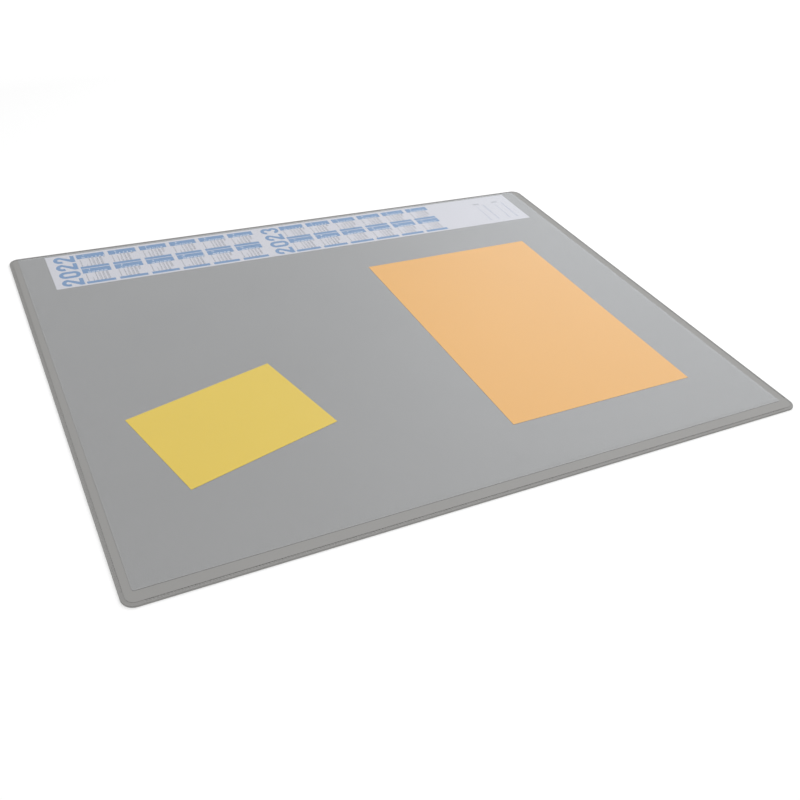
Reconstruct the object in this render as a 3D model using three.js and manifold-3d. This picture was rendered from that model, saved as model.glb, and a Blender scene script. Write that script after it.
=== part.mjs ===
// Desk pad with a two-year calendar strip: a grey plastic mat with a pressed, toothed seam along its
// edges, a clear film over it that is welded to the mat along the rear, the printed calendar strip
// under the rear of the film, and two loose sheets of coloured card slipped under the film.
//
// Millimetres, +Z up. The origin is the middle of the mat's underside, +X runs along the long side
// and +Y points to the rear edge, where the calendar is.

import * as THREE from "three";
import { mergeVertices } from "three/addons/utils/BufferGeometryUtils.js";
import Module from "manifold-3d";

const wasm = await Module();
wasm.setup();

// Mat
const matLength = 650;
const matDepth = 500;
const matThickness = 2;
const cornerRadius = 10;
const edgeRounding = 0.3;
const edgeRoundingSteps = 2;

// Pressed seam along the mat's edge: an outer rim, then a groove, with teeth on the straight runs
const rimWidth = 1.2;
const rimDrop = 0.12; // from the mat's top face down to the rim
const grooveWidth = 2;
const grooveDepth = 0.2; // from the mat's top face down to the plain groove at the corners
const toothPitch = 2.5;
const toothHeight = 0.25;
const toothPeakDrop = 0.02; // from the plain groove's floor down to the teeth's peaks
const plainRunAtCorner = 5; // from the end of a corner's arc to the first tooth

// Clear film, measured from the inner side of the seam
const filmThickness = 0.3;
const filmMarginLeft = 6.1;
const filmMarginRight = 7.5;
const filmMarginFront = 10;
const filmCornerRadius = 2;
const filmLandWidth = 1; // flat stretch along a free edge, where the film lies on the mat
const filmLipWidth = 2.5; // stretch that climbs from there to the level over the papers
const filmWeldWidth = 1.8; // flat stretch along the rear that is welded to the mat
const filmRampWidth = 1; // stretch that climbs from the weld onto the calendar strip
const filmClearance = 0.04; // between the film and what lies under it

// Calendar strip
const stripMarginLeft = 32.8; // from the inner side of the seam
const stripMarginRight = 24.8;
const stripDepth = 68.5;
const stripThickness = 0.15;
const stripGapToRamp = 0.3;

// Print on the strip, as fields of ink that stand a little proud of the paper
const inkHeight = 0.03;
const monthsPerRow = 6;
const monthRows = 2;
const printMarginFront = 2.6; // from the strip's front edge to the print
const printMarginRear = 3.4;
const yearMargin = 7; // from the strip's left edge to the first year
const yearGap = 2.3; // between a year and its months
const digitHeight = 22;
const digitStroke = 4.2;
const digitSlant = 5; // width of the slanting stroke of a 2, along its foot
const digitGap = 2.8;
const secondYearGap = 10; // from the first year's months to the second year
const blankEndLength = 120; // white end of the strip, to the right of the last month
const monthGap = 4.4;
const monthRowGap = 1;
const headerHeight = 9.2; // ink field over a month's days
const footerHeight = 4.4; // ink field under a month's days

// Note sheets of card, in the sizes A6 and A4
const sheetThickness = 0.25;
const yellowLength = 148;
const yellowDepth = 105;
const yellowFromFilmLeft = 125; // from the film's left edge to the middle of the sheet
const yellowFromFilmFront = 152;
const yellowTurn = 14.9; // degrees, counter-clockwise from above
const orangeLength = 210;
const orangeDepth = 297;
const orangeFromFilmRight = 168.4;
const orangeBehindMiddle = 4.5; // behind the middle of the writing field
const orangeTurn = 0.4;

// Places worked out from the sizes above
const seamWidth = rimWidth + grooveWidth;
const seamInner = {
  left: -matLength / 2 + seamWidth,
  right: matLength / 2 - seamWidth,
  front: -matDepth / 2 + seamWidth,
  rear: matDepth / 2 - seamWidth,
};
const film = {
  left: seamInner.left + filmMarginLeft,
  right: seamInner.right - filmMarginRight,
  front: seamInner.front + filmMarginFront,
  rear: seamInner.rear,
};
const stripRear = film.rear - filmWeldWidth - filmRampWidth - stripGapToRamp;
const strip = {
  left: seamInner.left + stripMarginLeft,
  right: seamInner.right - stripMarginRight,
  front: stripRear - stripDepth,
  rear: stripRear,
};
const printDepth = stripDepth - printMarginFront - printMarginRear;
const filmRise = Math.max(stripThickness + inkHeight, sheetThickness) + filmClearance;
const overlap = 0.05; // how far a solid that is joined to another reaches into it
const cutAbove = 1; // how far a cutting solid stands out over the face that it cuts
const arcSegments = 6;

// Turns a closed three.js geometry into a solid that can be joined and cut.
function solidOf(geometry) {
  const bare = geometry.index ? geometry.toNonIndexed() : geometry.clone();
  bare.deleteAttribute("normal");
  bare.deleteAttribute("uv");
  const merged = mergeVertices(bare);
  const vertProperties = Float32Array.from(merged.attributes.position.array);
  const triVerts = Uint32Array.from(merged.index.array);
  return new wasm.Manifold(new wasm.Mesh({ numProp: 3, vertProperties, triVerts }));
}

// Turns a solid back into a three.js geometry.
function geometryOf(solid) {
  const { vertProperties, triVerts } = solid.getMesh();
  const geometry = new THREE.BufferGeometry();
  geometry.setAttribute("position", new THREE.BufferAttribute(vertProperties, 3));
  geometry.setIndex(new THREE.BufferAttribute(triVerts, 1));
  geometry.computeVertexNormals();
  return geometry;
}

// A rectangle with one radius at its front corners and one at its rear corners.
function roundedRectangle({ left, right, front, rear }, frontRadius, rearRadius = frontRadius) {
  const shape = new THREE.Shape();
  shape.moveTo(left + frontRadius, front);
  shape.lineTo(right - frontRadius, front);
  if (frontRadius) shape.absarc(right - frontRadius, front + frontRadius, frontRadius, -Math.PI / 2, 0);
  shape.lineTo(right, rear - rearRadius);
  if (rearRadius) shape.absarc(right - rearRadius, rear - rearRadius, rearRadius, 0, Math.PI / 2);
  shape.lineTo(left + rearRadius, rear);
  if (rearRadius) shape.absarc(left + rearRadius, rear - rearRadius, rearRadius, Math.PI / 2, Math.PI);
  shape.lineTo(left, front + frontRadius);
  if (frontRadius) shape.absarc(left + frontRadius, front + frontRadius, frontRadius, Math.PI, Math.PI * 1.5);
  return shape;
}

// The mat's outline, moved inwards.
function matOutline(inset) {
  const sides = {
    left: -matLength / 2 + inset,
    right: matLength / 2 - inset,
    front: -matDepth / 2 + inset,
    rear: matDepth / 2 - inset,
  };
  return roundedRectangle(sides, Math.max(cornerRadius - inset, 0));
}

// A flat plate with the given outline between two heights.
function plate(shape, bottom, top) {
  const options = { depth: top - bottom, bevelEnabled: false, curveSegments: arcSegments };
  return solidOf(new THREE.ExtrudeGeometry(shape, options).translate(0, 0, bottom));
}

// A rectangular plate between two corners and two heights.
function block(left, right, front, rear, bottom, top) {
  return plate(roundedRectangle({ left, right, front, rear }, 0), bottom, top);
}

// The comb that presses one straight run of teeth: its underside is a zigzag, one V for each tooth.
// It lies along +X with its middle at the origin, and its outer side at y = 0.
function toothComb(runLength) {
  const count = Math.max(Math.floor(runLength / toothPitch), 1);
  const start = (-count * toothPitch) / 2;
  const peak = matThickness - grooveDepth - toothPeakDrop;
  const profile = new THREE.Shape();
  profile.moveTo(start, matThickness + cutAbove);
  profile.lineTo(start, peak);
  for (let tooth = 0; tooth < count; tooth++) {
    profile.lineTo(start + (tooth + 0.5) * toothPitch, peak - toothHeight);
    profile.lineTo(start + (tooth + 1) * toothPitch, peak);
  }
  profile.lineTo(-start, matThickness + cutAbove);
  const comb = new THREE.ExtrudeGeometry(profile, { depth: grooveWidth, bevelEnabled: false });
  comb.rotateX(Math.PI / 2).translate(0, grooveWidth, 0);
  return comb;
}

// The mat: a rounded plate, a raised field inside the seam, and the groove and teeth cut between them.
function makeMat() {
  const rimTop = matThickness - rimDrop;
  const grooveFloor = matThickness - grooveDepth;
  const rim = new THREE.ExtrudeGeometry(matOutline(edgeRounding), {
    depth: rimTop - 2 * edgeRounding,
    bevelThickness: edgeRounding,
    bevelSize: edgeRounding,
    bevelSegments: edgeRoundingSteps,
    curveSegments: arcSegments,
  }).translate(0, 0, edgeRounding);
  const field = plate(matOutline(seamWidth), rimTop - overlap, matThickness);

  const grooveRing = matOutline(rimWidth);
  grooveRing.holes.push(matOutline(seamWidth));
  let mat = solidOf(rim).add(field).subtract(plate(grooveRing, grooveFloor, matThickness + cutAbove));

  const cornerRun = 2 * (cornerRadius + plainRunAtCorner);
  const sides = [
    { run: matLength - cornerRun, distance: matDepth / 2, turn: 0 },
    { run: matDepth - cornerRun, distance: matLength / 2, turn: 90 },
    { run: matLength - cornerRun, distance: matDepth / 2, turn: 180 },
    { run: matDepth - cornerRun, distance: matLength / 2, turn: 270 },
  ];
  for (const { run, distance, turn } of sides) {
    const comb = toothComb(run).translate(0, rimWidth - distance, 0);
    mat = mat.subtract(solidOf(comb.rotateZ(THREE.MathUtils.degToRad(turn))));
  }
  return geometryOf(mat);
}

// A bar along Y that fills the space under a polyline of [x, height over the mat's top face] points.
function barUnder(points, bottom, lift) {
  const [first, last] = [points[0], points[points.length - 1]];
  const section = new THREE.Shape();
  section.moveTo(first[0], bottom);
  for (const [x, height] of points) section.lineTo(x, matThickness + height + lift);
  section.lineTo(last[0], bottom);
  const bar = new THREE.ExtrudeGeometry(section, { depth: matLength, bevelEnabled: false });
  return bar.rotateX(Math.PI / 2).translate(0, matLength / 2, 0);
}

// The space under one face of the film, where lift is 0 for its underside. Seen from the front, the
// film lies on the mat at its left and right edges and climbs over the papers between them. Seen from
// the side, it climbs from its front edge in the same way, and drops down a ramp into the weld.
function spaceUnderFilm(bottom, lift) {
  const climb = filmLandWidth + filmLipWidth;
  const weldFront = film.rear - filmWeldWidth;
  const across = [
    [film.left, 0],
    [film.left + filmLandWidth, 0],
    [film.left + climb, filmRise],
    [film.right - climb, filmRise],
    [film.right - filmLandWidth, 0],
    [film.right, 0],
  ];
  const along = [
    [film.front, 0],
    [film.front + filmLandWidth, 0],
    [film.front + climb, filmRise],
    [weldFront - filmRampWidth, filmRise],
    [weldFront, 0],
    [film.rear, 0],
  ];
  const alongBar = barUnder(along, bottom, lift).rotateZ(Math.PI / 2);
  return solidOf(barUnder(across, bottom, lift)).intersect(solidOf(alongBar));
}

// The film: the space under its top face less the space under its underside, trimmed to its outline.
function makeFilm() {
  const below = matThickness - cutAbove;
  const above = matThickness + filmRise + filmThickness + cutAbove;
  const sheet = spaceUnderFilm(matThickness, filmThickness).subtract(spaceUnderFilm(below, 0));
  const outline = plate(roundedRectangle(film, filmCornerRadius, 0), below, above);
  const insideSeam = plate(matOutline(seamWidth), below, above);
  return geometryOf(sheet.intersect(outline).intersect(insideSeam));
}

// A ring sector between two angles in degrees, as a shape.
function ringSector(x, y, radius, stroke, from, to) {
  const [start, end] = [from, to].map(THREE.MathUtils.degToRad);
  const shape = new THREE.Shape();
  shape.absarc(x, y, radius, start, end);
  shape.absarc(x, y, radius - stroke, end, start, true);
  return shape;
}

// One bold digit, a 0, 2 or 3, as a list of shapes. It stands on y = 0 with its left side at x = 0.
function digitShapes(digit, width) {
  const bowl = width / 2;
  const rectangle = (left, right, front, rear) => roundedRectangle({ left, right, front, rear }, 0);
  if (digit === "0") {
    const ring = roundedRectangle({ left: 0, right: width, front: 0, rear: digitHeight }, bowl);
    const [low, high] = [digitStroke, digitHeight - digitStroke];
    const hole = { left: digitStroke, right: width - digitStroke, front: low, rear: high };
    ring.holes.push(roundedRectangle(hole, bowl - digitStroke));
    return [ring];
  }
  if (digit === "2") {
    const middle = digitHeight - bowl;
    const slant = new THREE.Shape();
    slant.moveTo(0, digitStroke / 2);
    slant.lineTo(digitSlant, digitStroke / 2);
    slant.lineTo(width, middle);
    slant.lineTo(width - digitStroke, middle);
    slant.lineTo(0, digitStroke);
    return [
      ringSector(bowl, middle, bowl, digitStroke, 0, 180),
      rectangle(0, digitStroke, middle - digitStroke / 2, middle + overlap),
      slant,
      rectangle(0, width, 0, digitStroke),
    ];
  }
  const radius = (digitHeight + digitStroke) / 4;
  return [
    ringSector(width - radius, digitHeight - radius, radius, digitStroke, -90, 180),
    ringSector(width - radius, radius, radius, digitStroke, -180, 90),
  ];
}

// A year, read from the front to the rear, with the digits' feet towards +X.
function yearSolids(year, feetX) {
  const width = (printDepth - digitGap * (year.length - 1)) / year.length;
  const solids = [];
  [...year].forEach((digit, place) => {
    for (const shape of digitShapes(digit, width)) {
      const options = { depth: inkHeight + overlap, bevelEnabled: false, curveSegments: arcSegments };
      const geometry = new THREE.ExtrudeGeometry(shape, options);
      geometry.rotateZ(Math.PI / 2);
      const y = strip.front + printMarginFront + place * (width + digitGap);
      geometry.translate(feetX, y, matThickness + stripThickness - overlap);
      solids.push(solidOf(geometry));
    }
  });
  return solids;
}

// The ink fields of one year's months: a header and a footer for each month, six across and two deep.
function monthSolids(left, width) {
  const bottom = matThickness + stripThickness - overlap;
  const top = matThickness + stripThickness + inkHeight;
  const rowDepth = (printDepth - (monthRows - 1) * monthRowGap) / monthRows;
  const solids = [];
  for (let row = 0; row < monthRows; row++) {
    const front = strip.front + printMarginFront + row * (rowDepth + monthRowGap);
    const rear = front + rowDepth;
    for (let column = 0; column < monthsPerRow; column++) {
      const x = left + column * (width + monthGap);
      solids.push(block(x, x + width, front, front + footerHeight, bottom, top));
      solids.push(block(x, x + width, rear - headerHeight, rear, bottom, top));
    }
  }
  return solids;
}

// The calendar strip: a sheet of paper with two years, each with its twelve months beside it.
function makeStrip() {
  const top = matThickness + stripThickness;
  const paper = block(strip.left, strip.right, strip.front, strip.rear, matThickness, top);
  const yearLength = digitHeight + yearGap;
  const printLength = strip.right - strip.left - yearMargin - secondYearGap - blankEndLength;
  const monthsLength = (printLength - 2 * yearLength) / 2;
  const monthWidth = (monthsLength - (monthsPerRow - 1) * monthGap) / monthsPerRow;
  const firstFeet = strip.left + yearMargin + digitHeight;
  const firstMonths = firstFeet + yearGap;
  const secondFeet = firstMonths + monthsLength + secondYearGap + digitHeight;
  const ink = [
    ...yearSolids("2022", firstFeet),
    ...monthSolids(firstMonths, monthWidth),
    ...yearSolids("2023", secondFeet),
    ...monthSolids(secondFeet + yearGap, monthWidth),
  ];
  return geometryOf(ink.reduce((sheet, field) => sheet.add(field), paper));
}

// A loose sheet of card, lying on the mat.
function makeSheet(length, depth) {
  const outline = roundedRectangle(
    { left: -length / 2, right: length / 2, front: -depth / 2, rear: depth / 2 }, 0);
  return geometryOf(plate(outline, 0, sheetThickness));
}

// Places a named mesh in the pad.
const deskPad = new THREE.Group();
function addPiece(name, geometry, look, place = [0, 0, 0], turn = 0) {
  const mesh = new THREE.Mesh(geometry, new THREE.MeshStandardMaterial({ metalness: 0, ...look }));
  mesh.name = name;
  mesh.position.set(...place);
  mesh.rotation.z = THREE.MathUtils.degToRad(turn);
  deskPad.add(mesh);
}

addPiece("base_mat", makeMat(), { color: 0x969593, roughness: 0.6 });
addPiece("calendar_strip", makeStrip(), { color: 0xd4d6dd, roughness: 0.8 });
addPiece("cover_film", makeFilm(), { color: 0xe6e9ec, roughness: 0.35, transparent: true, opacity: 0.25 });

const yellowPlace = [film.left + yellowFromFilmLeft, film.front + yellowFromFilmFront, matThickness];
addPiece("note_sheet_yellow", makeSheet(yellowLength, yellowDepth),
  { color: 0xdec65f, roughness: 0.85 }, yellowPlace, yellowTurn);

const writingFieldMiddle = (film.front + strip.front) / 2;
const orangePlace = [film.right - orangeFromFilmRight, writingFieldMiddle + orangeBehindMiddle, matThickness];
addPiece("note_sheet_orange", makeSheet(orangeLength, orangeDepth),
  { color: 0xeebe82, roughness: 0.85 }, orangePlace, orangeTurn);

export default deskPad;
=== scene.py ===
# %% [markdown]
# # A desk pad with a two-year calendar strip
#
# The pad is a grey plastic mat, a clear cover film that is welded to it along the rear, a printed
# strip of paper under the film, and two loose sheets of coloured card. The mat and the strip come
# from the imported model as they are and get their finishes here. The film, the cards and the small
# numbers of the calendar are modelled in this file, as one would do it by hand.
#
# Everything is in metres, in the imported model's own frame: +X runs along the long side, +Y to the
# rear edge with the calendar, and the pad stands on z = 0.

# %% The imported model
import datetime
import math

import bmesh
import bpy
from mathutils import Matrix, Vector


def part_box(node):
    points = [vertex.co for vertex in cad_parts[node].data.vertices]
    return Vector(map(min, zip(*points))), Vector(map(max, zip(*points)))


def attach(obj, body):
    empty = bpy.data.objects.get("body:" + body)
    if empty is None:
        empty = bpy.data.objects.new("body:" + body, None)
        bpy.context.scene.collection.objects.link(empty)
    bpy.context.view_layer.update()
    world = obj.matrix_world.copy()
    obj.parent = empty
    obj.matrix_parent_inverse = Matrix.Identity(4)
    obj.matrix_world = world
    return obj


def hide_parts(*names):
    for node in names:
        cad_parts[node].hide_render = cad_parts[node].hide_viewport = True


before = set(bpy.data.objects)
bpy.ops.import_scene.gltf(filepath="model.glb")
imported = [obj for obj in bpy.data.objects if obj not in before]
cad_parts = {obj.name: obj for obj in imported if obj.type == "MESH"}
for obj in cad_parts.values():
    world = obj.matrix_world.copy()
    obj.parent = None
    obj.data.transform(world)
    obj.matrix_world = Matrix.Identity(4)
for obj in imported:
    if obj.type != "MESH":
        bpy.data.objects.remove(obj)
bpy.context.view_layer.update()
MM = 0.001

# %% [markdown]
# ## The camera
#
# The four edges of the mat and the corners of the two cards fix where the photograph was taken from:
# about 0.9 m from the middle of the pad, 0.5 m over the desk, to the left of the middle. The picture
# was cut a little off its centre, and the lens shift says by how much, as a share of its width. The
# centre is counted in pixels from the picture's upper left corner.

# %% Camera
SENSOR_WIDTH = 36.0
FOCAL_LENGTH_PIXELS = 886.35
PICTURE_WIDTH_PIXELS = 800
LENS_CENTRE_PIXEL = (380.5, 400.5)

bpy.ops.object.camera_add(
    location=(-0.3803, -0.6550, 0.4967),
    rotation=[math.radians(angle) for angle in (52.13, -5.17, -26.39)],
)
camera = bpy.context.object
camera.name = "camera"
camera.data.sensor_width = SENSOR_WIDTH
camera.data.lens = FOCAL_LENGTH_PIXELS * SENSOR_WIDTH / PICTURE_WIDTH_PIXELS
camera.data.shift_x = 0.5 - LENS_CENTRE_PIXEL[0] / PICTURE_WIDTH_PIXELS
camera.data.shift_y = LENS_CENTRE_PIXEL[1] / PICTURE_WIDTH_PIXELS - 0.5
camera.data.clip_start = 0.01
bpy.context.scene.camera = camera
print("lens, in mm:", round(camera.data.lens, 2), "shift:", round(camera.data.shift_x, 4))

# %% [markdown]
# ## Small helpers
#
# An operator works on whatever is selected, so each step starts from nothing selected. In edit mode
# the vertices, edges or faces are then picked in code by where they are. A finished piece has its
# place in its mesh and its object at the origin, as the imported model's own parts have.

# %% Helpers for modelling
def select_only(*things):
    bpy.ops.object.select_all(action="DESELECT")
    for thing in things:
        thing.select_set(True)
    bpy.context.view_layer.objects.active = things[0]


def pick(piece, kind, test):
    """Selects the vertices, edges or faces of a piece in edit mode that pass a test."""
    bpy.ops.mesh.select_mode(type=kind)
    bpy.ops.mesh.select_all(action="DESELECT")
    mesh = bmesh.from_edit_mesh(piece.data)
    parts = {"VERT": mesh.verts, "EDGE": mesh.edges, "FACE": mesh.faces}[kind]
    found = [part for part in parts if test(part)]
    for part in found:
        part.select_set(True)
    bmesh.update_edit_mesh(piece.data)
    return len(found)


def place_in_mesh(piece):
    select_only(piece)
    bpy.ops.object.transform_apply(location=True, rotation=True, scale=True)


def seat(piece):
    """Says what a finished piece rides on."""
    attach(piece, "root")
    print(piece.name, "has", len(piece.data.polygons), "faces")


# %% [markdown]
# ## Helpers for finishes
#
# A finish is a tree of nodes. Made by hand it is a node added here and a noodle drawn there, and these
# few functions do the same: add a node, set its inputs or join them to others, and hand on its output.

# %% Helpers for nodes
FLOAT = "NodeSocketFloat"
VECTOR = "NodeSocketVector"
COLOUR = "NodeSocketColor"


def connect(tree, node, links):
    """Gives a node's inputs their values, or joins them to other nodes' outputs."""
    for label, value in links.items():
        if isinstance(value, bpy.types.NodeSocket):
            tree.links.new(value, node.inputs[label])
        else:
            node.inputs[label].default_value = value
    return node


def add_node(tree, kind, links, **settings):
    node = tree.nodes.new(kind)
    for setting, value in settings.items():
        setattr(node, setting, value)
    return connect(tree, node, links)


def maths(tree, operation, *values, clamp=False):
    inputs = dict(enumerate(values))
    return add_node(tree, "ShaderNodeMath", inputs, operation=operation, use_clamp=clamp).outputs[0]


def mix_colours(tree, factor, first, second):
    """The first colour where the factor is 0 and the second where it is 1."""
    links = {"Factor": factor, 6: first, 7: second}
    return add_node(tree, "ShaderNodeMix", links, data_type="RGBA").outputs[2]


def ramp(tree, value, low, high):
    """0 where the value is under low, 1 where it is over high, and even steps between them."""
    links = {"Value": value, "From Min": low, "From Max": high}
    return add_node(tree, "ShaderNodeMapRange", links).outputs[0]


# %% [markdown]
# ## Shared effects for the finishes
#
# Three things turn up in more than one finish, so each is a node group with its own inputs. The
# grain is the fine pressed texture of soft plastic, from cells and noise. The mottle is the slow
# drift of tone that no real sheet is without, and at a small scale it makes print uneven. The fibre
# is what makes card and paper look like paper: short streaks that lie in two directions. A group
# hands out only values and colours.

# %% The groups' frame
def new_group(name, inputs, output_kind):
    group = bpy.data.node_groups.new(name, "ShaderNodeTree")
    for label, kind, value in inputs:
        socket = group.interface.new_socket(name=label, in_out="INPUT", socket_type=kind)
        socket.default_value = value
    group.interface.new_socket(name="Result", in_out="OUTPUT", socket_type=output_kind)
    given = group.nodes.new("NodeGroupInput").outputs
    result = group.nodes.new("NodeGroupOutput").inputs[0]
    return group, given, result


# %% Grain
grain, given, result = new_group(
    "pressed_grain", [("Place", VECTOR, (0, 0, 0)), ("Cells per metre", FLOAT, 900.0)], FLOAT)
cells = add_node(grain, "ShaderNodeTexVoronoi",
                 {"Vector": given["Place"], "Scale": given["Cells per metre"]})
dust = add_node(grain, "ShaderNodeTexNoise",
                {"Vector": given["Place"], "Scale": given["Cells per metre"], "Detail": 4.0})
grain.links.new(maths(grain, "ADD", cells.outputs["Distance"], dust.outputs["Fac"]), result)
print("shared effect:", grain.name)

# %% Mottle
mottle, given, result = new_group(
    "slow_mottle",
    [("Place", VECTOR, (0, 0, 0)), ("Colour", COLOUR, (0.5, 0.5, 0.5, 1)),
     ("Amount", FLOAT, 0.05), ("Patches per metre", FLOAT, 12.0)], COLOUR)
patches = add_node(mottle, "ShaderNodeTexNoise",
                   {"Vector": given["Place"], "Scale": given["Patches per metre"], "Detail": 6.0})
swing = maths(mottle, "SUBTRACT", patches.outputs["Fac"], 0.5)
level = maths(mottle, "MULTIPLY_ADD", swing, given["Amount"], 1.0)
toned = add_node(mottle, "ShaderNodeVectorMath", {0: given["Colour"], "Scale": level}, operation="SCALE")
mottle.links.new(toned.outputs[0], result)
print("shared effect:", mottle.name)

# %% Fibre
FIBRE_STRETCH = 0.22
FIBRE_TURNS = (0.0, math.radians(68))

fibre, given, result = new_group(
    "paper_fibre", [("Place", VECTOR, (0, 0, 0)), ("Fibres per metre", FLOAT, 700.0)], FLOAT)
streaks = []
for turn in FIBRE_TURNS:
    laid = add_node(fibre, "ShaderNodeMapping",
                    {"Vector": given["Place"], "Rotation": (0, 0, turn), "Scale": (FIBRE_STRETCH, 1, 1)})
    streak = add_node(fibre, "ShaderNodeTexNoise",
                      {"Vector": laid.outputs[0], "Scale": given["Fibres per metre"], "Detail": 5.0})
    streaks.append(streak.outputs["Fac"])
fibre.links.new(maths(fibre, "MULTIPLY", maths(fibre, "ADD", *streaks), 0.5), result)
print("shared effect:", fibre.name)

# %% [markdown]
# ## Helpers for materials
#
# Every finish starts from the Principled shader and from the piece's own coordinates, so a pattern
# stays on its piece wherever the piece goes.

# %% Helpers for materials
def new_material(name):
    material = bpy.data.materials.new(name)
    material.use_nodes = True
    tree = material.node_tree
    place = tree.nodes.new("ShaderNodeTexCoord").outputs["Object"]
    return material, tree, tree.nodes["Principled BSDF"], place


def use_group(tree, group, links):
    node = tree.nodes.new("ShaderNodeGroup")
    node.node_tree = group
    return connect(tree, node, links).outputs[0]


def bump(tree, shader, height, depth):
    node = add_node(tree, "ShaderNodeBump", {"Height": height, "Distance": depth, "Strength": 1.0})
    tree.links.new(node.outputs[0], shader.inputs["Normal"])


def height_over_desk(tree, place):
    return add_node(tree, "ShaderNodeSeparateXYZ", {0: place}).outputs["Z"]


def dress(node_name, material):
    """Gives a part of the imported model, which stays as it is, its finish."""
    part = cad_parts[node_name]
    part.data.materials.clear()
    part.data.materials.append(material)


# %% [markdown]
# ## The mat
#
# The mat is soft plastic in a warm grey, with a fine grain that takes the gloss off. Along its edge
# it was pressed with a hot tool, which left a groove with teeth that is a little smoother than the
# field. The groove gets a darker grey, which is painted shade, and the cut side under it a paler
# grey, which is painted light. The imported mesh already has that groove and its teeth. Only the
# finish is missing, and it finds each of the three by the height over the desk.

# %% Mat finish
MAT_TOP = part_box("base_mat")[1].z
MAT_GREY = (0.278, 0.274, 0.267, 1)
# Painted shade: a darker grey for the groove with the teeth.
GROOVE_SHADE_GREY = (0.246, 0.243, 0.237, 1)
# Painted light: a paler grey for the mat's cut side.
SIDE_LIGHT_GREY = (0.330, 0.325, 0.317, 1)
GROOVE_DEPTH = 0.2 * MM
SIDE_TOP = 1.5 * MM
SIDE_BLEND = 0.2 * MM
GRAINS_PER_METRE = 760.0
GRAIN_DEPTH = 0.004 * MM
GRAIN_ROUGHNESS = (0.5, 0.62)

mat_plastic, tree, shader, place = new_material("mat_plastic")
height = height_over_desk(tree, place)
on_field = ramp(tree, height, MAT_TOP - GROOVE_DEPTH, MAT_TOP)
toned = use_group(tree, mottle, {"Place": place, "Colour": MAT_GREY, "Amount": 0.06})
# Painted shade in the groove, below the height of the field.
groove_shaded = mix_colours(tree, on_field, GROOVE_SHADE_GREY, toned)
over_side = ramp(tree, height, SIDE_TOP - SIDE_BLEND, SIDE_TOP)
# Painted light on the cut side, below the side's top.
tree.links.new(mix_colours(tree, over_side, SIDE_LIGHT_GREY, groove_shaded), shader.inputs["Base Color"])
grains = use_group(tree, grain, {"Place": place, "Cells per metre": GRAINS_PER_METRE})
rough = add_node(tree, "ShaderNodeMapRange",
                 {"Value": grains, "From Max": 1.2,
                  "To Min": GRAIN_ROUGHNESS[0], "To Max": GRAIN_ROUGHNESS[1]})
tree.links.new(rough.outputs[0], shader.inputs["Roughness"])
bump(tree, shader, grains, GRAIN_DEPTH)
dress("base_mat", mat_plastic)
print("mat top, in mm:", round(MAT_TOP / MM, 3))

# %% [markdown]
# ## The calendar strip
#
# The strip is smooth white paper. Its large print, which is the two years and the bars over and
# under each month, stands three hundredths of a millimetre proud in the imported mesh, as thick ink
# would. So the finish asks one question: is this spot higher than the paper? If so it is blue ink,
# with the slight unevenness of an offset print, and otherwise bare paper.

# %% Strip finish
STRIP_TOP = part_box("calendar_strip")[1].z
INK_HEIGHT = 0.03 * MM
PAPER_WHITE = (0.582, 0.575, 0.610, 1)
INK_BLUE = (0.148, 0.262, 0.445, 1)

strip_paper, tree, shader, place = new_material("strip_paper")
height = height_over_desk(tree, place)
inked = ramp(tree, height, STRIP_TOP - 0.6 * INK_HEIGHT, STRIP_TOP - 0.4 * INK_HEIGHT)
paper = use_group(tree, mottle, {"Place": place, "Colour": PAPER_WHITE, "Amount": 0.03})
ink = use_group(tree, mottle,
                {"Place": place, "Colour": INK_BLUE, "Amount": 0.25, "Patches per metre": 900.0})
tree.links.new(mix_colours(tree, inked, paper, ink), shader.inputs["Base Color"])
fibres = use_group(tree, fibre, {"Place": place, "Fibres per metre": 900.0})
shader.inputs["Roughness"].default_value = 0.7
bump(tree, shader, fibres, 0.01 * MM)
dress("calendar_strip", strip_paper)
print("strip top, in mm:", round(STRIP_TOP / MM, 3))

# %% [markdown]
# ## The cards' finishes
#
# Both cards are uncoated, so they have hardly any gloss, and fibres that one feels more than sees. The
# cut edge is rougher than the face, and its much darker colour is painted shade, for the thin line of
# shadow along the cards' edges. One function makes all four finishes, because they differ only in
# colour and roughness.

# %% Card finishes
YELLOW = (0.720, 0.520, 0.052, 1)
# Painted shade on the yellow card's cut edge.
YELLOW_CUT_SHADE = (0.160, 0.110, 0.030, 1)
ORANGE = (0.760, 0.400, 0.088, 1)
# Painted shade on the orange card's cut edge.
ORANGE_CUT_SHADE = (0.160, 0.090, 0.040, 1)
FACE_ROUGHNESS = 0.75
CUT_ROUGHNESS = 0.9


def make_card_finish(name, colour, roughness):
    material, tree, shader, place = new_material(name)
    toned = use_group(tree, mottle, {"Place": place, "Colour": colour, "Amount": 0.04})
    tree.links.new(toned, shader.inputs["Base Color"])
    fibres = use_group(tree, fibre, {"Place": place, "Fibres per metre": 800.0})
    shader.inputs["Roughness"].default_value = roughness
    bump(tree, shader, fibres, 0.02 * MM)
    return material


yellow_face = make_card_finish("yellow_card", YELLOW, FACE_ROUGHNESS)
# The cut edges' finishes carry the painted shade.
yellow_cut_shade = make_card_finish("yellow_card_cut_shade", YELLOW_CUT_SHADE, CUT_ROUGHNESS)
orange_face = make_card_finish("orange_card", ORANGE, FACE_ROUGHNESS)
orange_cut_shade = make_card_finish("orange_card_cut_shade", ORANGE_CUT_SHADE, CUT_ROUGHNESS)
print("card finishes:", yellow_face.name, yellow_cut_shade.name, orange_face.name, orange_cut_shade.name)

# %% [markdown]
# ## The two cards
#
# Each card is a flat sheet with crisp edges, cut on a guillotine. One could start from a plane and
# thicken it, but a cube that is squashed to the card's size gives faces and cut edges at once. It is
# turned, and its edges are softened by a few hundredths of a millimetre to catch a little light. The
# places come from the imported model: a card's middle is its box's middle.

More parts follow.
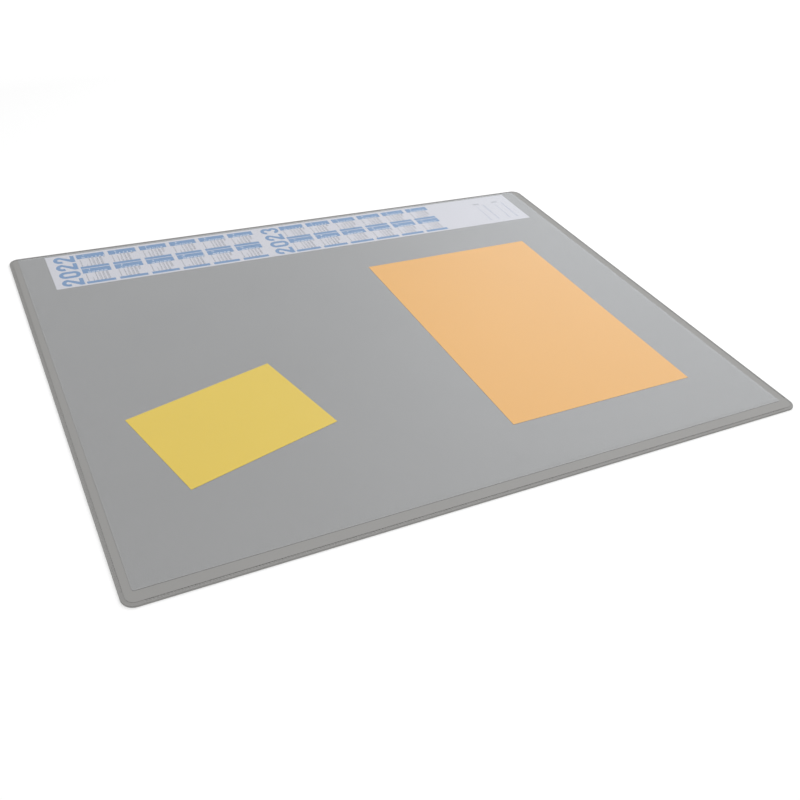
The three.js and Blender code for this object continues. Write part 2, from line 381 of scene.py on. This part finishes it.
# %% Cards
A6_SIZE = (148 * MM, 105 * MM)
A4_SIZE = (210 * MM, 297 * MM)
YELLOW_TURN = math.radians(14.9)
ORANGE_TURN = math.radians(0.4)
EDGE_SOFTNESS = 0.03 * MM


def make_card(name, node, size, turn, face, cut):
    low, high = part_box(node)
    bpy.ops.mesh.primitive_cube_add(
        size=1, location=(low + high) / 2, rotation=(0, 0, turn), scale=(*size, high.z - low.z))
    card = bpy.context.object
    card.name = name
    place_in_mesh(card)
    card.data.materials.append(face)
    card.data.materials.append(cut)
    bpy.ops.object.mode_set(mode="EDIT")
    bpy.ops.mesh.select_all(action="SELECT")
    bpy.ops.mesh.bevel(offset=EDGE_SOFTNESS, segments=2, affect="EDGES")
    # The upright cut faces get the second finish, the painted shade.
    pick(card, "FACE", lambda part: abs(part.normal.z) < 0.9)
    card.active_material_index = 1
    bpy.ops.object.material_slot_assign()
    bpy.ops.object.mode_set(mode="OBJECT")
    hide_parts(node)
    return card


yellow = make_card("yellow_card", "note_sheet_yellow", A6_SIZE, YELLOW_TURN, yellow_face, yellow_cut_shade)
seat(yellow)
orange = make_card("orange_card", "note_sheet_orange", A4_SIZE, ORANGE_TURN, orange_face, orange_cut_shade)
seat(orange)

# %% [markdown]
# ## The cover film
#
# The film is one sheet of clear plastic, 0.3 mm thick. A thin slab does for a start, at the height
# that the film has over the cards and the strip, and its two front corners are rounded by a bevel on
# their upright edges.

# %% Film slab
FILM_THICKNESS = 0.3 * MM
FILM_CORNER = 2 * MM

film_low, film_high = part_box("cover_film")
film_rise = film_high.z - film_low.z - FILM_THICKNESS
film_middle = (film_low + film_high) / 2
film_middle.z = film_high.z - FILM_THICKNESS / 2
bpy.ops.mesh.primitive_cube_add(
    size=1, location=film_middle,
    scale=(film_high.x - film_low.x, film_high.y - film_low.y, FILM_THICKNESS))
film = bpy.context.object
film.name = "clear_film"
place_in_mesh(film)

bpy.ops.object.mode_set(mode="EDIT")
corners = pick(film, "EDGE", lambda part: part.calc_length() < 2 * FILM_THICKNESS
               and part.verts[0].co.y < film_middle.y)
bpy.ops.mesh.bevel(offset=FILM_CORNER, segments=6, affect="EDGES")
print("rounded corners:", corners, "film climbs, in mm:", round(film_rise / MM, 3))

# %% [markdown]
# ## The film's bends
#
# The film lies on the mat along its three free edges, climbs over what is under it, and drops down a
# short ramp to the weld at the rear. Cloth could be dropped on the cards for this, but a stiff film
# bends only near its edges. So the slab is cut across along each line where it bends, and each row of
# points is let down onto the mat by a smooth curve. The sheet keeps its thickness, because a point
# and the one below it go down by the same amount.

# %% Film bends
LAND_WIDTH = 1.0 * MM
LIP_WIDTH = 2.5 * MM
WELD_WIDTH = 1.8 * MM
RAMP_WIDTH = 1.0 * MM
BEND_STEPS = 5


def climb(distance, land, width):
    """Share of the full height at a distance from the film's edge, along a smooth curve."""
    share = min(max((distance - land) / width, 0.0), 1.0)
    return share * share * (3 - 2 * share)


def drop_at(point):
    """How far a point of the level slab has to come down."""
    shares = [
        climb(point.x - film_low.x, LAND_WIDTH, LIP_WIDTH),
        climb(film_high.x - point.x, LAND_WIDTH, LIP_WIDTH),
        climb(point.y - film_low.y, LAND_WIDTH, LIP_WIDTH),
        climb(film_high.y - point.y, WELD_WIDTH, RAMP_WIDTH),
    ]
    return round(film_rise * (1 - min(shares)), 9)


edges = [
    (film_low, Vector((1, 0, 0)), LAND_WIDTH, LIP_WIDTH),
    (film_high, Vector((-1, 0, 0)), LAND_WIDTH, LIP_WIDTH),
    (film_low, Vector((0, 1, 0)), LAND_WIDTH, LIP_WIDTH),
    (film_high, Vector((0, -1, 0)), WELD_WIDTH, RAMP_WIDTH),
]
for corner, inwards, land, width in edges:
    for step in range(BEND_STEPS + 1):
        bpy.ops.mesh.select_all(action="SELECT")
        bpy.ops.mesh.bisect(
            plane_co=corner + inwards * (land + width * step / BEND_STEPS), plane_no=inwards)

drops = sorted({drop_at(point.co) for point in bmesh.from_edit_mesh(film.data).verts})
for drop in drops:
    if drop > 0:
        pick(film, "VERT", lambda part: drop_at(part.co) == drop)
        bpy.ops.transform.translate(value=(0, 0, -drop))
bpy.ops.object.mode_set(mode="OBJECT")
print("heights along the bends:", len(drops))

# %% [markdown]
# ## The film's finish
#
# Clear film is hard to see: it lets nearly all the light through, adds a faint bluish haze, and has
# a satin gloss that grows where one looks along it. So the finish mixes three shaders: a clear one, a
# little white haze, and a gloss that is weighted by Fresnel. The sheet has two faces, and only the
# outer one should be hazy and glossy, which Backfacing tells apart. On the cut edge the haze is turned
# into painted shade: a dark grey that covers most of the clear part, for the dark line along the film's
# edge.

# %% Film finishes
FILM_TINT = (0.995, 0.996, 0.998, 1)
GLOSS_TINT = (0.90, 0.95, 1.00, 1)
FILM_IOR = 1.31
FILM_ROUGHNESS = 0.42
HAZE_ROUGHNESS = 0.6
FACE_HAZE = (0.70, 0.82, 1.00, 1)
FACE_HAZE_SHARE = 0.025
# Painted shade: a dark grey for the film's cut edge.
CUT_PAINTED_SHADE = (0.10, 0.10, 0.10, 1)
CUT_SHADE_SHARE = 0.85


def make_film_finish(name, haze_and_shade_colour, haze_and_shade_share):
    material, tree, haze_and_shade, place = new_material(name)
    # On the face this colour is a faint haze, on the cut edge it is painted shade.
    haze_and_shade.inputs["Base Color"].default_value = haze_and_shade_colour
    haze_and_shade.inputs["Roughness"].default_value = HAZE_ROUGHNESS
    backfacing = tree.nodes.new("ShaderNodeNewGeometry").outputs["Backfacing"]
    outside = maths(tree, "SUBTRACT", 1.0, backfacing)
    clear = add_node(tree, "ShaderNodeBsdfTransparent", {"Color": FILM_TINT}).outputs[0]
    share = maths(tree, "MULTIPLY", outside, haze_and_shade_share)
    hazed_and_shaded = add_node(tree, "ShaderNodeMixShader", {0: share, 1: clear, 2: haze_and_shade.outputs[0]}).outputs[0]
    gloss = add_node(tree, "ShaderNodeBsdfAnisotropic",
                     {"Color": GLOSS_TINT, "Roughness": FILM_ROUGHNESS}).outputs[0]
    fresnel = add_node(tree, "ShaderNodeFresnel", {"IOR": FILM_IOR}).outputs[0]
    share = maths(tree, "MULTIPLY", fresnel, outside)
    film_shader = add_node(tree, "ShaderNodeMixShader", {0: share, 1: hazed_and_shaded, 2: gloss}).outputs[0]
    tree.links.new(film_shader, tree.nodes["Material Output"].inputs["Surface"])
    return material


film_face = make_film_finish("clear_film", FACE_HAZE, FACE_HAZE_SHARE)
# The cut edge's finish is painted shade.
film_cut_shade = make_film_finish("clear_film_cut_shade", CUT_PAINTED_SHADE, CUT_SHADE_SHARE)
print("film finishes:", film_face.name, film_cut_shade.name)

# %% [markdown]
# ## The film's edges
#
# A tiny bevel takes the knife's sharpness off the cut edge, whose faces get the dark finish of painted
# shade. The bends are then shaded smooth. The level field is far larger than the bends beside it, so the
# points between the two take its direction, or the whole field would be shaded as if it were bowed.

# %% Film edges
film.data.materials.append(film_face)
film.data.materials.append(film_cut_shade)
select_only(film)
soften = film.modifiers.new("soften", "BEVEL")
soften.width = 0.04 * MM
soften.segments = 2
soften.limit_method = "ANGLE"
soften.angle_limit = math.radians(40)
bpy.ops.object.modifier_apply(modifier=soften.name)
bpy.ops.object.mode_set(mode="EDIT")
# The cut faces get the second finish, the painted shade.
pick(film, "FACE", lambda part: abs(part.normal.z) < 0.5)
film.active_material_index = 1
bpy.ops.object.material_slot_assign()
bpy.ops.object.mode_set(mode="OBJECT")
bpy.ops.object.shade_smooth_by_angle(angle=math.radians(30))
weigh = film.modifiers.new("weigh", "WEIGHTED_NORMAL")
weigh.keep_sharp = True
bpy.ops.object.modifier_apply(modifier=weigh.name)
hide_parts("cover_film")
seat(film)

# %% [markdown]
# ## Where the months are
#
# The strip shows two years side by side, each as two rows of six months. The large years and the bars
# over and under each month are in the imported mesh, so the small numbers have to land between them.
# The same distances as on the strip, counted from its edges, say where each month's block starts.

# %% Where the months are
YEARS = (2022, 2023)
MONTH_COLUMNS = 6
MONTH_WIDTH = 29.7 * MM
MONTH_GAP = 4.4 * MM
BLOCK_DEPTH = 30.75 * MM
ROW_GAP = 1.0 * MM
HEADER_DEPTH = 9.2 * MM
PRINT_MARGIN_REAR = 3.4 * MM
YEAR_MARGIN = 7.0 * MM
DIGIT_HEIGHT = 22.0 * MM
YEAR_GAP = 2.3 * MM
SECOND_YEAR_GAP = 10.0 * MM

strip_low, strip_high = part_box("calendar_strip")
months_length = MONTH_COLUMNS * MONTH_WIDTH + (MONTH_COLUMNS - 1) * MONTH_GAP
first_months = strip_low.x + YEAR_MARGIN + DIGIT_HEIGHT + YEAR_GAP
second_months = first_months + months_length + SECOND_YEAR_GAP + DIGIT_HEIGHT + YEAR_GAP
year_starts = dict(zip(YEARS, (first_months, second_months)))


def month_corner(year, month):
    """Front left corner of a month's block. January to June are in the rear row."""
    row, column = divmod(month - 1, MONTH_COLUMNS)
    x = year_starts[year] + column * (MONTH_WIDTH + MONTH_GAP)
    y = strip_high.y - PRINT_MARGIN_REAR - BLOCK_DEPTH - row * (BLOCK_DEPTH + ROW_GAP)
    return x, y


print("January starts at, in mm:", [round(value / MM, 1) for value in month_corner(2022, 1)])

# %% [markdown]
# ## Inks
#
# The small numbers are thin ink on paper, in grey, in a pale blue for the list, and left white in the
# blue bars. The mottle at a small scale makes the print a little uneven, as it is on real paper.

# %% Inks
INK_THICKNESS = 0.02 * MM
PAPER_TOP = STRIP_TOP - INK_HEIGHT


def make_ink(name, colour):
    material, tree, shader, place = new_material(name)
    toned = use_group(tree, mottle, {"Place": place, "Colour": colour, "Amount": 0.3,
                                     "Patches per metre": 2500.0})
    tree.links.new(toned, shader.inputs["Base Color"])
    shader.inputs["Roughness"].default_value = 0.6
    return material


grey_ink = make_ink("grey_ink", (0.09, 0.10, 0.13, 1))
white_ink = make_ink("bare_paper_numbers", (0.76, 0.76, 0.79, 1))
pale_ink = make_ink("pale_blue_ink", (0.20, 0.24, 0.38, 1))
print("inks:", grey_ink.name, white_ink.name, pale_ink.name)

# %% [markdown]
# ## Setting numbers
#
# A picture of the print would do from afar, but real type stays crisp close up. Text starts as a
# curve, is grown a little so that its strokes are as bold as the print, and gets the thickness of
# ink. All the numbers of one ink are then joined into one mesh.

# %% Setting numbers
STROKE_GROWTH = 0.03 * MM


def set_numbers(body, x, y, size, bottom, line=1.0):
    """Sets one column of numbers, flush right at x, with its first line's foot at y."""
    bpy.ops.object.text_add(location=(x, y, bottom + INK_THICKNESS / 2))
    text = bpy.context.object
    text.data.body = body
    text.data.size = size
    text.data.align_x = "RIGHT"
    text.data.space_line = line
    text.data.resolution_u = 2
    text.data.offset = STROKE_GROWTH
    text.data.extrude = INK_THICKNESS / 2
    return text


def print_numbers(name, texts, ink):
    """Makes one mesh of many texts."""
    select_only(*texts)
    bpy.ops.object.convert(target="MESH")
    bpy.ops.object.join()
    numbers = bpy.context.object
    numbers.name = name
    place_in_mesh(numbers)
    numbers.data.materials.clear()
    numbers.data.materials.append(ink)
    bpy.ops.object.mode_set(mode="EDIT")
    bpy.ops.mesh.select_all(action="SELECT")
    bpy.ops.mesh.remove_doubles(threshold=0.001 * MM)
    bpy.ops.mesh.normals_make_consistent(inside=False)
    bpy.ops.object.mode_set(mode="OBJECT")
    seat(numbers)
    return numbers


# %% [markdown]
# ## Days and weeks
#
# A month is a grid. Its weeks are columns with the week's number over them, its days are seven rows,
# one for each day of the week, with the row's number in front, and the month's number stands on the
# bar. The grid comes from the dates themselves, so no table has to be typed in.

# %% Days and weeks of a month
DAY_SIZE = 2.6 * MM
DAY_ROWS = 7
DAY_ROW_PITCH = 2.45 * MM
DAY_TOP_GAP = 2.2 * MM
FIRST_WEEK_RIGHT = 8.6 * MM
WEEK_PITCH = 4.2 * MM
LABEL_RIGHT = 3.2 * MM
WEEK_SIZE = 3.5 * MM
WEEK_FOOT = 0.6 * MM
MONTH_SIZE = 3.6 * MM
MONTH_FOOT = 5.4 * MM


def weeks_of(year, month):
    """The month's days by week: a list of (week number, {day of the week: day})."""
    weeks = []
    day = datetime.date(year, month, 1)
    while day.month == month:
        if not weeks or day.weekday() == 0:
            weeks.append((day.isocalendar()[1], {}))
        weeks[-1][1][day.weekday()] = day.day
        day += datetime.timedelta(days=1)
    return weeks


print("weeks of January 2022:", [week for week, days in weeks_of(2022, 1)])

# %% [markdown]
# ## Printing both years
#
# Each column of days is one text of up to seven lines, set flush right, with an empty line where the
# month has no such day. That is far fewer texts than one for each day.

# %% Print of both years
for year in YEARS:
    on_paper = []
    on_bars = []
    for month in range(1, 13):
        x, y = month_corner(year, month)
        header = y + BLOCK_DEPTH - HEADER_DEPTH
        first_line = header - DAY_TOP_GAP
        line = DAY_ROW_PITCH / DAY_SIZE
        labels = "\n".join(str(row + 1) for row in range(DAY_ROWS))
        on_paper.append(set_numbers(labels, x + LABEL_RIGHT, first_line, DAY_SIZE, PAPER_TOP, line))
        on_bars.append(set_numbers(str(month), x + FIRST_WEEK_RIGHT, header + MONTH_FOOT,
                                   MONTH_SIZE, STRIP_TOP))
        for place_in_row, (week, days) in enumerate(weeks_of(year, month)):
            right = x + FIRST_WEEK_RIGHT + place_in_row * WEEK_PITCH
            column = "\n".join(str(days.get(row, "")) for row in range(DAY_ROWS))
            on_paper.append(set_numbers(column, right, first_line, DAY_SIZE, PAPER_TOP, line))
            on_bars.append(set_numbers(str(week), right, header + WEEK_FOOT, WEEK_SIZE, STRIP_TOP))
    print_numbers(f"day_numbers_{year}", on_paper, grey_ink)
    print_numbers(f"week_numbers_{year}", on_bars, white_ink)

# %% [markdown]
# ## The list at the right end
#
# The strip's right end holds two short lists, in a paler ink. Here they give the number of days in
# each month of the two years, with the year over each list.

# %% Print of the list
LIST_RIGHTS = (257 * MM, 285 * MM)
LIST_COLUMN = 12 * MM
LIST_HEAD_Y = 226 * MM
LIST_FIRST_Y = 221 * MM
LIST_PITCH = 3.4 * MM
LIST_SIZE = 3.0 * MM
HEAD_SIZE = 4.4 * MM


def days_in(year, month):
    following = datetime.date(year + month // 12, month % 12 + 1, 1)
    return (following - datetime.date(year, month, 1)).days


lists = []
heads = []
for year, right in zip(YEARS, LIST_RIGHTS):
    months = "\n".join(str(month) for month in range(1, 13))
    lengths = "\n".join(str(days_in(year, month)) for month in range(1, 13))
    line = LIST_PITCH / LIST_SIZE
    left = right - LIST_COLUMN
    heads.append(set_numbers(str(year), (left + right) / 2, LIST_HEAD_Y, HEAD_SIZE, PAPER_TOP))
    lists.append(set_numbers(months, left, LIST_FIRST_Y, LIST_SIZE, PAPER_TOP, line))
    lists.append(set_numbers(lengths, right, LIST_FIRST_Y, LIST_SIZE, PAPER_TOP, line))
print_numbers("list_numbers", lists, pale_ink)
print_numbers("list_heads", heads, grey_ink)

# %% [markdown]
# ## The floor
#
# The floor is plain and pale. To the camera it is as good as white, by a little light of its own that
# only the eye and mirrors see. That light grows where the floor is far from the lamps, and near the
# pad it is weak, so the pad's shadow stays.

# %% Floor
FLOOR_SIZE = 40
FLOOR_GLOW = 0.2
FAR_GLOW = 0.8
GLOW_START = 0.8
GLOW_FULL = 2.0

bpy.ops.mesh.primitive_plane_add(size=FLOOR_SIZE, location=(0, 0, 0))
floor = bpy.context.object
floor.name = "floor"
floor_finish, tree, shader, place = new_material("floor")
shader.inputs["Base Color"].default_value = (0.85, 0.85, 0.85, 1)
shader.inputs["Roughness"].default_value = 1.0
shader.inputs["Specular IOR Level"].default_value = 0.0
rays = tree.nodes.new("ShaderNodeLightPath").outputs
seen = maths(tree, "ADD", rays["Is Camera Ray"], rays["Is Glossy Ray"])
seen = maths(tree, "ADD", seen, rays["Is Transmission Ray"], clamp=True)
shader.inputs["Emission Color"].default_value = (1, 1, 1, 1)
distance = add_node(tree, "ShaderNodeVectorMath", {0: place}, operation="LENGTH").outputs["Value"]
glow = add_node(tree, "ShaderNodeMapRange",
                {"Value": distance, "From Min": GLOW_START, "From Max": GLOW_FULL,
                 "To Min": FLOOR_GLOW, "To Max": FAR_GLOW}).outputs[0]
tree.links.new(maths(tree, "MULTIPLY", seen, glow), shader.inputs["Emission Strength"])
floor.data.materials.append(floor_finish)
print("floor, in m:", FLOOR_SIZE)

# %% [markdown]
# ## The lamps
#
# Two soft lamps light the pad. A large one stands at the rear right, and its blurred reflection gives
# the film its pale veil on that side. The other hangs overhead and lights the colours evenly.

# %% Lamps
def add_lamp(name, location, target, width, depth, power):
    bpy.ops.object.light_add(type="AREA", location=location)
    lamp = bpy.context.object
    lamp.name = name
    lamp.data.shape = "RECTANGLE"
    lamp.data.size = width
    lamp.data.size_y = depth
    lamp.data.energy = power
    lamp.rotation_euler = (Vector(target) - Vector(location)).to_track_quat("-Z", "Y").to_euler()
    lamp.visible_camera = False
    return lamp


add_lamp("rear_right_softbox", (1.5, 0.9, 1.6), (0.05, 0, 0), 1.8, 1.5, 19.5)
add_lamp("top_softbox", (-0.2, -0.3, 1.7), (0, 0, 0), 1.4, 1.4, 12)

# %% [markdown]
# ## The world
#
# The world fills the shadows with even light from all sides. The camera and mirrors see it as white.

# %% World
WORLD_LEVEL = 0.5

world = bpy.data.worlds.new("studio")
bpy.context.scene.world = world
world.use_nodes = True
tree = world.node_tree
rays = tree.nodes.new("ShaderNodeLightPath").outputs
seen = maths(tree, "ADD", rays["Is Camera Ray"], rays["Is Glossy Ray"])
seen = maths(tree, "ADD", seen, rays["Is Transmission Ray"], clamp=True)
strength = add_node(tree, "ShaderNodeMapRange", {"Value": seen, "To Min": WORLD_LEVEL, "To Max": 1.0})
tree.links.new(strength.outputs[0], tree.nodes["Background"].inputs["Strength"])
tree.nodes["Background"].inputs["Color"].default_value = (1, 1, 1, 1)
bpy.context.scene.view_settings.view_transform = "Standard"
print("world level:", WORLD_LEVEL)
